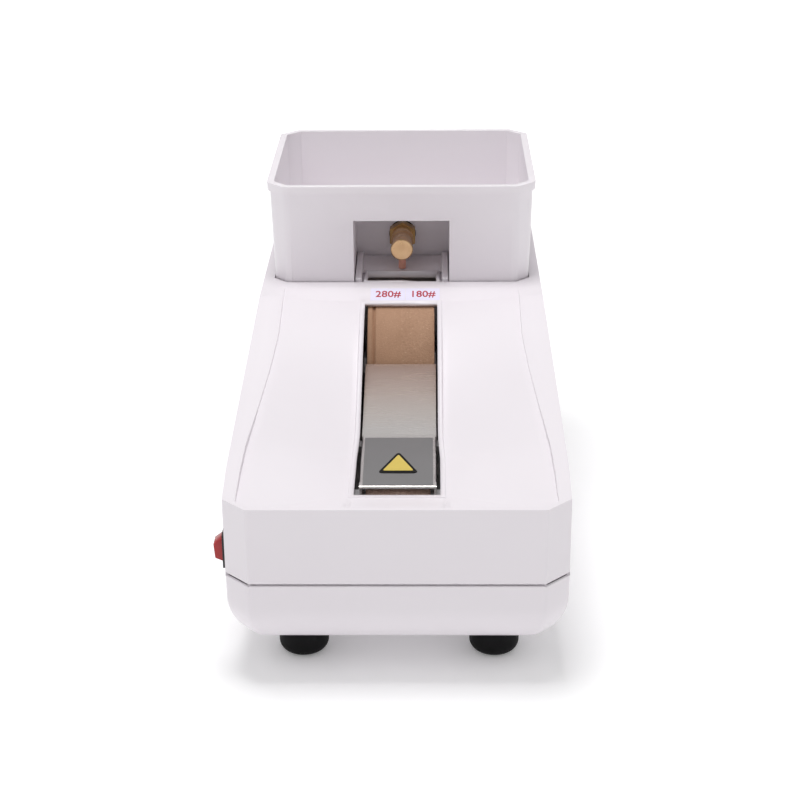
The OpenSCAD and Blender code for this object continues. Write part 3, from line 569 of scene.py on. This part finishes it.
# cuts the cooling slots and the inlet's opening into the rear wall
def openWall(bm):
    rearY = at(0, casing["length"], 0).y

    def rearFaces():
        return [f for f in bm.faces
                if abs(f.normal.y) > 0.99 and abs(f.calc_center_median().y - rearY) < 0.2 * mm]

    def wall():
        return withParts(rearFaces())

    def cut(place, normal):
        bmesh.ops.bisect_plane(bm, geom=wall(), dist=1e-6, plane_co=place, plane_no=normal)

    for x in [v for left in vents["x"] for v in (left, left + vents["wide"])] + list(inletCut["x"]):
        cut(at(x, 0, 0), (1, 0, 0))
    for z in (vents["low"], vents["high"]) + inletCut["z"]:
        cut(at(0, 0, z), (0, 0, 1))

    def isOpen(f):
        c = (f.calc_center_median() - at(0, 0, 0)) / mm
        vent = vents["low"] < c.z < vents["high"] and any(x < c.x < x + vents["wide"] for x in vents["x"])
        plug = inletCut["x"][0] < c.x < inletCut["x"][1] and inletCut["z"][0] < c.z < inletCut["z"][1]
        return vent or plug

    bmesh.ops.delete(bm, geom=[f for f in rearFaces() if isOpen(f)], context="FACES")


def thickened(thing, thickness):
    wall = thing.modifiers.new("wall", "SOLIDIFY")
    wall.thickness = thickness * mm
    wall.offset = -1
    return thing


thickened(finished(upperShell(), "casing_top", ["top_shell"], smooth=shellEdge["smooth"]), casing["wall"])
print("upper casing made")


# lower half of the casing
base = {"under": 20, "round": 30, "joint": 64.6, "wall": 2.6, "vents": [-46 + 12 * k for k in range(7)],
        "ventY": (303, 343), "ventWide": 4, "edge": 1.6}


def outline(d):
    c = max(4, casing["corner"] - 0.586 * d)
    w, r, b = casing["half"] - d, casing["rear"] - d, casing["length"] - d
    side = max(casing["taper"], d + c + 1)
    return [(c - w, d), (w - c, d), (w, d + c), (w, side), (r, casing["deckFrom"]), (r, b - c),
            (r - c, b), (c - r, b), (-r, b - c), (-r, casing["deckFrom"]), (-w, side), (-w, d + c)]


def lowerShell():
    bm = bmesh.new()
    ring = bmesh.ops.create_circle(bm, segments=12, radius=1)["verts"]
    levels = [(0.7, base["joint"]), (0, base["joint"] - 0.8)]
    levels += [(base["round"] * (1 - math.cos(a)), base["under"] + base["round"] * (1 - math.sin(a)))
               for a in (math.radians(6 * k) for k in range(16))]
    edges = list(bm.edges)
    for k, (d, z) in enumerate(levels):
        if k:
            made = bmesh.ops.extrude_edge_only(bm, edges=edges)["geom"]
            edges = [g for g in made if isinstance(g, bmesh.types.BMEdge)]
            ring = nextRing(ring, edges)
        for v, (x, y) in zip(ring, outline(d)):
            v.co = at(x, y, z)
    bmesh.ops.contextual_create(bm, geom=edges)
    bmesh.ops.recalc_face_normals(bm, faces=bm.faces)
    for x in [v for left in base["vents"] for v in (left, left + base["ventWide"])]:
        bisectFlat(bm, at(x, 0, 0), (1, 0, 0))
    for y in base["ventY"]:
        bisectFlat(bm, at(0, y, 0), (0, 1, 0))
    gone = []
    for f in bm.faces:
        c = (f.calc_center_median() - at(0, 0, 0)) / mm
        if abs(f.normal.z) > 0.99 and base["ventY"][0] < c.y < base["ventY"][1] and any(
                x < c.x < x + base["ventWide"] for x in base["vents"]):
            gone.append(f)
    bmesh.ops.delete(bm, geom=gone, context="FACES")
    rounded(bm, base["edge"], 3, 20, lambda e: abs(e.verts[0].co.z - e.verts[1].co.z) > 0.3 * mm)
    return bm


# the extruded ring in the same order as the one it came from
def nextRing(ring, edges):
    fresh = dict.fromkeys(v for e in edges for v in e.verts)
    return [next(e.other_vert(v) for e in v.link_edges if e.other_vert(v) in fresh) for v in ring]


def bisectFlat(bm, place, normal):
    faces = [f for f in bm.faces if abs(f.normal.z) > 0.99 and f.calc_center_median().z < 25 * mm]
    geom = withParts(faces)
    bmesh.ops.bisect_plane(bm, geom=geom, dist=1e-6, plane_co=place, plane_no=normal)


thickened(finished(lowerShell(), "casing_base", ["base_tray"], smooth=shellEdge["smooth"]), base["wall"])
print("lower casing made")


# lift-off tank
tank = {"rimLow": 224.5, "corner": 3.2, "rearCorner": 6, "rearFrom": 300, "rimEdge": 1.9, "rimUnder": 1.2,
        "small": 0.5}


def waterTank():
    bm = mergedCopy("water_tank")
    top = tank["rimLow"] * mm

    def upright(e):
        a, b = e.verts
        far = abs(a.co.x - middleX) > 60 * mm and abs(b.co.x - middleX) > 60 * mm
        return far and abs(a.co.z - b.co.z) > 3 * mm

    rearY = at(0, tank["rearFrom"], 0).y
    rounded(bm, tank["rearCorner"], 6, 20, lambda e: upright(e) and e.verts[0].co.y > rearY)
    rounded(bm, tank["corner"], 5, 20, lambda e: upright(e) and e.verts[0].co.y < rearY)
    rounded(bm, tank["rimEdge"], 4, 30, lambda e: min(v.co.z for v in e.verts) > top + 4 * mm)
    rounded(bm, tank["rimUnder"], 3, 30, lambda e: all(abs(v.co.z - top) < 0.05 * mm for v in e.verts)
            and e.calc_face_angle_signed(0) > 0)
    rounded(bm, tank["small"], 2, 30, lambda e: max(v.co.z for v in e.verts) < top + 1 * mm
            and e.calc_length() > 1.5 * mm)
    return bm


finished(waterTank(), "water_tub", ["water_tank"], smooth=30)
eased("drip_tray", 0.6, 3)
print("tank made")


# drip tap: each profile is (radius, place along its own axis)
tap = {"height": 181.5, "tubeAt": (0, 262, 164), "nutEdge": 0.55,
       "barrel": [(2.6, 254.6), (4.4, 254.5), (4.6, 254.8), (4.6, 256.1), (5.9, 256.1), (6.3, 256.6),
                  (6.3, 265.8), (6.6, 266.3), (7.2, 267), (7.4, 267.4), (7.4, 269.2), (7.1, 269.6),
                  (6.2, 270.4), (6, 270.8), (6, 272.3), (6.8, 273), (7, 273.5), (7, 276.5), (5, 276.5),
                  (5, 302.6), (4.6, 303), (2.2, 303), (2, 302.8), (2, 268), (2.6, 266), (2.6, 254.6)],
       "knob": [(0, 247.35), (2.2, 247.3), (6, 247.05), (6.5, 247.1), (7.05, 247.4), (7.3, 247.9),
                (7.3, 249), (7.1, 249.25), (7.3, 249.5), (7.3, 251.6), (7, 252.2), (6.5, 252.5),
                (2.55, 252.5), (2.55, 249.2), (0, 249.2)],
       "tube": [(1.65, 0.1), (2.1, 0), (2.45, 0.35), (2.45, 12.5), (1.6, 12.5), (1.65, 0.1)]}


def hexNut(node, offset):
    bm = mergedCopy(node)
    rounded(bm, offset, 2, 40)
    return bm


finished(spun(tap["barrel"], at(0, 0, tap["height"]), 1, 72), "tap_barrel", ["tap_body"], smooth=26)
finished(spun(tap["knob"], at(0, 0, tap["height"]), 1, 96), "tap_dial", ["tap_knob"], smooth=22)
finished(spun(tap["tube"], at(*tap["tubeAt"]), 2, 48), "tap_tube", ["tap_outlet"], smooth=30)
finished(hexNut("tap_nut", tap["nutEdge"]), "tap_hexagon", ["tap_nut"], smooth=24)
print("tap made")


# wheel: one rim for each grit, touching in the middle
wheel = {"radius": 50, "half": 21.5, "bore": 43, "groove": -17.5}


def rim(low, high, groove=None):
    r = wheel["radius"]
    profile = [(wheel["bore"], low), (r - 0.5, low), (r - 0.12, low + 0.15), (r, low + 0.5)]
    if groove is not None:
        profile += [(r, groove - 1.5), (r - 0.9, groove - 0.6), (r - 1.5, groove), (r - 0.9, groove + 0.6),
                    (r, groove + 1.5)]
    if groove is None:
        profile[1:4] = [(r, low)]
        profile += [(r, high - 0.35), (r - 0.2, high - 0.05), (r - 0.4, high)]
    else:
        profile.append((r, high))
    profile += [(wheel["bore"], high), (wheel["bore"], low)]
    return spun(profile, wheelCentre, 0, 160)


finished(rim(-wheel["half"], -0.005, wheel["groove"]), "rim_fine", ["wheel_fine"], smooth=30)
finished(rim(0.005, wheel["half"]), "rim_coarse", ["wheel_coarse"], smooth=30)
print("wheel made")


# rest plate, its film and the patch; line is the plate's upper face in y and z
plate = {"half": 22.3, "thick": 1.4, "line": [(44, 105.2), (100, 111.4), (174, 129.3)], "flange": 8.5,
         "curl": 1.6}


def plateLine():
    (y0, z0), (y1, z1), (y2, z2) = plate["line"]
    curl = plate["curl"]
    points = []
    for k in range(5):
        a = math.radians(90 - 22.5 * k)
        points.append((y0 + curl * 0.9 - curl * math.cos(a) - 0.3, z0 + 0.3 - curl + curl * math.sin(a)))
    points.reverse()
    points += [(mixed(y0, y1, s), mixed(z0, z1, s)) for s in (0.1, 0.5, 0.93)]
    points += [(y1, z1 + 0.12), (mixed(y1, y2, 0.05), mixed(z1, z2, 0.05))]
    points += [(mixed(y1, y2, s), mixed(z1, z2, s)) for s in (0.3, 0.6, 0.85, 1)]
    return points


def restPlate():
    line = plateLine()
    bm = bmesh.new()
    bmesh.ops.create_grid(bm, x_segments=4, y_segments=len(line) - 1, size=1)
    across = [-plate["half"], -plate["half"] + 2, 0, plate["half"] - 2, plate["half"]]
    rowOf = {}
    for v in bm.verts:
        row = round((v.co.y + 1) * (len(line) - 1) / 2)
        rowOf[v] = row
        y, z = line[row]
        v.co = at(across[round((v.co.x + 1) * 2)], y, z)
    bendRow = len(line) - 6
    side = [e for e in bm.edges if e.is_boundary and all(5 <= rowOf[v] <= bendRow for v in e.verts)
            and abs(e.verts[0].co.x - e.verts[1].co.x) < 1e-7]
    made = bmesh.ops.extrude_edge_only(bm, edges=side)["geom"]
    for v in (g for g in made if isinstance(g, bmesh.types.BMVert)):
        v.co.z -= plate["flange"] * mm
    bmesh.ops.recalc_face_normals(bm, faces=bm.faces)
    if max(bm.faces, key=lambda f: f.calc_center_median().z).normal.z < 0:
        bmesh.ops.reverse_faces(bm, faces=bm.faces)
    rounded(bm, 0.7, 3, 50)
    bmesh.ops.solidify(bm, geom=list(bm.faces), thickness=plate["thick"] * mm)
    return bm


def onPlate(share, lift):
    (y0, z0), (y1, z1) = plate["line"][:2]
    return mixed(y0, y1, share), mixed(z0, z1, share) + lift


def film():
    bm = bmesh.new()
    bmesh.ops.create_grid(bm, x_segments=8, y_segments=12, size=1)
    for v in bm.verts:
        y, z = onPlate(mixed(0.03, 0.98, (v.co.y + 1) / 2), 0.28)
        ripple = 0.05 * noise.noise(Vector((v.co.x * 2, v.co.y * 2, 0.3)))
        v.co = at(v.co.x * (plate["half"] - 1.9), y, z + ripple)
    made = bmesh.ops.extrude_face_region(bm, geom=list(bm.faces))["geom"]
    for v in (g for g in made if isinstance(g, bmesh.types.BMVert)):
        v.co.z -= 0.26 * mm
    bmesh.ops.recalc_face_normals(bm, faces=bm.faces)
    return bm


# a rounded triangle that lies on the film
def triangle(width, tall, radius, low, high, centre=0.47):
    y0, z0 = onPlate(centre, 0.3)
    slope = math.atan2(plate["line"][1][1] - plate["line"][0][1], plate["line"][1][0] - plate["line"][0][0])
    bm = bmesh.new()
    corners = [(-width / 2, -tall / 2), (width / 2, -tall / 2), (0, tall / 2)]
    verts = [bm.verts.new((x * mm, y * mm, low * mm)) for x, y in corners]
    bm.faces.new(verts)
    bmesh.ops.bevel(bm, geom=list(bm.verts), offset=radius * mm, offset_type="OFFSET", segments=5,
                    profile=0.5, affect="VERTICES", material=-1)
    made = bmesh.ops.extrude_face_region(bm, geom=list(bm.faces))["geom"]
    for v in (g for g in made if isinstance(g, bmesh.types.BMVert)):
        v.co.z = high * mm
    bmesh.ops.recalc_face_normals(bm, faces=bm.faces)
    turn = Matrix.Translation(at(0, y0, z0)) @ Matrix.Rotation(slope, 4, "X")
    bmesh.ops.transform(bm, matrix=turn, verts=bm.verts)
    return bm


finished(restPlate(), "rest_sheet", ["guard_plate"], smooth=30)
finished(film(), "rest_film", ["plate_film"], smooth=30)
finished(triangle(24.5, 24.5, 3.2, 0.02, 0.14), "patch_border", [], markBlack, body="guard")
finished(triangle(18.2, 18.2, 1.4, 0.1, 0.22, 0.465), "patch_face", ["caution_patch"], smooth=30)
print("rest plate made")


# label behind the slot
labelAt = {"left": -20, "right": 25, "split": 2.8, "gap": 0.15, "y": (209.5, 221.5),
           "marks": (("280#", -8.6), ("180#", 13.9)), "size": 7.8}


def labelField(low, high):
    bm = bmesh.new()
    bmesh.ops.create_grid(bm, x_segments=2, y_segments=2, size=1)
    y0, y1 = labelAt["y"]
    for v in bm.verts:
        y = mixed(y0, y1, (v.co.y + 1) / 2)
        v.co = at(mixed(low, high, (v.co.x + 1) / 2), y, edgeHeight(y) + 0.3)
    made = bmesh.ops.extrude_face_region(bm, geom=list(bm.faces))["geom"]
    for v in (g for g in made if isinstance(g, bmesh.types.BMVert)):
        v.co.z -= 0.28 * mm
    bmesh.ops.recalc_face_normals(bm, faces=bm.faces)
    return bm


def numeral(words, x, name):
    curve = bpy.data.curves.new(name, "FONT")
    curve.body = words
    curve.size = labelAt["size"] * mm
    curve.align_x = curve.align_y = "CENTER"
    curve.space_character = 1.02
    curve.offset = 0.1 * mm
    curve.extrude = 0.06 * mm
    holder = bpy.data.objects.new(name, curve)
    scene.collection.objects.link(holder)
    bpy.context.view_layer.update()
    mesh = bpy.data.meshes.new_from_object(holder.evaluated_get(bpy.context.evaluated_depsgraph_get()))
    bpy.data.objects.remove(holder)
    bm = bmesh.new()
    bm.from_mesh(mesh)
    bmesh.ops.remove_doubles(bm, verts=bm.verts, dist=0.002 * mm)
    y0, y1 = labelAt["y"]
    y = (y0 + y1) / 2
    slope = math.atan2(edgeHeight(y1) - edgeHeight(y0), y1 - y0)
    turn = Matrix.Translation(at(x, y, edgeHeight(y) + 0.34)) @ Matrix.Rotation(slope, 4, "X")
    bmesh.ops.transform(bm, matrix=turn @ Matrix.Diagonal((1.0, 1.15, 1.0, 1.0)), verts=bm.verts)
    return finished(bm, name, [], markRed, body="casing")


finished(labelField(labelAt["left"], labelAt["split"] - labelAt["gap"]), "label_left", ["grit_label"])
finished(labelField(labelAt["split"] + labelAt["gap"], labelAt["right"]), "label_right", [],
         finishes["label_film"], body="casing")
for words, x in labelAt["marks"]:
    numeral(words, x, "numerals_" + words[:3])
print("label made")


# sponge under the plate's front end
def sponge():
    low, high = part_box("sponge")
    bm = mergedCopy("sponge")
    bmesh.ops.triangulate(bm, faces=bm.faces)
    bmesh.ops.subdivide_edges(bm, edges=bm.edges, cuts=7, use_grid_fill=True)
    for k in range(3):
        bmesh.ops.smooth_vert(bm, verts=bm.verts, factor=0.5, use_axis_x=True, use_axis_y=True,
                              use_axis_z=True)
    for v in bm.verts:
        v.co += v.normal * (noise.noise(v.co * 400) * 0.5 - 0.2) * mm
        v.co = Vector((min(max(v.co.x, low.x), high.x), min(max(v.co.y, low.y), high.y), min(v.co.z, high.z)))
    thing = finished(bm, "foam_block", ["sponge"], smooth=60)


sponge()

# feet, then the nodes that only need their edges eased
feet = {"radius": 14.75, "tall": 20, "bend": 6.5, "x": 56.5, "y": (43, 345)}


def foot(x, y):
    r, bend = feet["radius"], feet["bend"]
    profile = [(5, 8), (5, 0.6), (5.4, 0.1), (r - bend, 0)]
    profile += [(r - bend + bend * math.sin(a), bend - bend * math.cos(a))
                for a in (math.radians(9 * k) for k in range(1, 11))]
    profile += [(r, feet["tall"] - 0.6), (r - 0.5, feet["tall"]), (2.1, feet["tall"]), (2.1, 8), (5, 8)]
    return spun(profile, at(x, y, 0), 2, 72)


def allFeet():
    whole = bmesh.new()
    for x in (-feet["x"], feet["x"]):
        for y in feet["y"]:
            one = foot(x, y)
            mesh = bpy.data.meshes.new("foot")
            one.to_mesh(mesh)
            one.free()
            whole.from_mesh(mesh)
            bpy.data.meshes.remove(mesh)
    return whole


finished(allFeet(), "rubber_domes", ["rubber_feet"], smooth=35)
easing = {"switch_housing": 0.6, "switch_rocker": 1.0, "power_inlet": 0.6, "wheel_housing": 0.5,
          "bearing_blocks": 0.8, "bearings": 0.5, "motor_body": 1.2, "motor_end_caps": 1.5,
          "motor_bracket": 0.7, "spindle_pulley": 0.3, "motor_pulley": 0.3, "wheel_core": 0.4,
          "wheel_flanges": 0.25, "wheel_nut": 0.5, "foot_screws": 0.4, "shell_screws": 0.4,
          "block_screws": 0.4, "motor_screws": 0.4, "inlet_screws": 0.25, "drain_spout": 0.3,
          "drain_nut": 0.6, "capacitor": 1.5, "capacitor_clip": 0.2, "terminal_block": 0.5,
          "inlet_blades": 0.2, "spindle": 0.25, "tap_stem": 0.2, "tap_lock_nut": 0.5, "tap_washers": 0.2,
          "spindle_seals": 0.3, "drive_belt": 0.3, "motor_shaft": 0.3}
for node, size in easing.items():
    eased(node, size)
print("inner pieces eased:", len(easing))


# floor and light
light = {"world": 0.42, "top": 15, "key": 2.8, "fill": 1.5, "rear": 1.5}


def makeFloor():
    bm = bmesh.new()
    bmesh.ops.create_grid(bm, x_segments=4, y_segments=4, size=4)
    mesh = bpy.data.meshes.new("floor")
    bm.to_mesh(mesh)
    bm.free()
    f = Finish("floorPaper", roughness=0.9, specular=0.1)
    f.set("Base Color", f.shade(f.spots(3, 2), (0.93, 0.93, 0.935), (0.95, 0.95, 0.955)))
    # the floor glows as a light from below, dimmer near the machine: a painted contact shadow around it
    far = f.node("ShaderNodeVectorMath", {"operation": "LENGTH"}, {0: f.place}, 1)
    floorGlowWithPaintedShadow = f.node("ShaderNodeMapRange", {}, {"Value": far, "From Min": 0.2, "From Max": 1.6})
    f.set("Emission Color", f.shade(floorGlowWithPaintedShadow, (0.2, 0.2, 0.2), (1, 1, 1)))
    f.set("Emission Strength", 0.8)
    mesh.materials.append(f.material)
    thing = bpy.data.objects.new("floor", mesh)
    scene.collection.objects.link(thing)


def lamp(name, place, target, size, power):
    data = bpy.data.lights.new(name, "AREA")
    data.size = size
    data.energy = power
    thing = bpy.data.objects.new(name, data)
    spot = Vector(place)
    turned = (Vector(target) - spot).to_track_quat("-Z", "Y").to_matrix().to_4x4()
    turned.translation = spot
    thing.matrix_world = turned
    scene.collection.objects.link(thing)


makeFloor()
lamp("topLamp", (-0.1, -0.02, 1.7), (0, 0, 0.1), 0.6, light["top"])
lamp("keyLamp", (-0.9, -0.9, 1.5), (0, 0, 0.1), 1.0, light["key"])
lamp("fillLamp", (1.2, -0.7, 1.2), (0, 0, 0.1), 1.2, light["fill"])
lamp("rearLamp", (0.2, 1.2, 1.4), (0, 0, 0.15), 1.2, light["rear"])
world = bpy.data.worlds.new("studio")
world.use_nodes = True
world.node_tree.nodes["Background"].inputs[0].default_value = (1, 1, 1, 1)
world.node_tree.nodes["Background"].inputs[1].default_value = light["world"]
scene.world = world
scene.view_settings.view_transform = "Standard"
print("floor and light set")
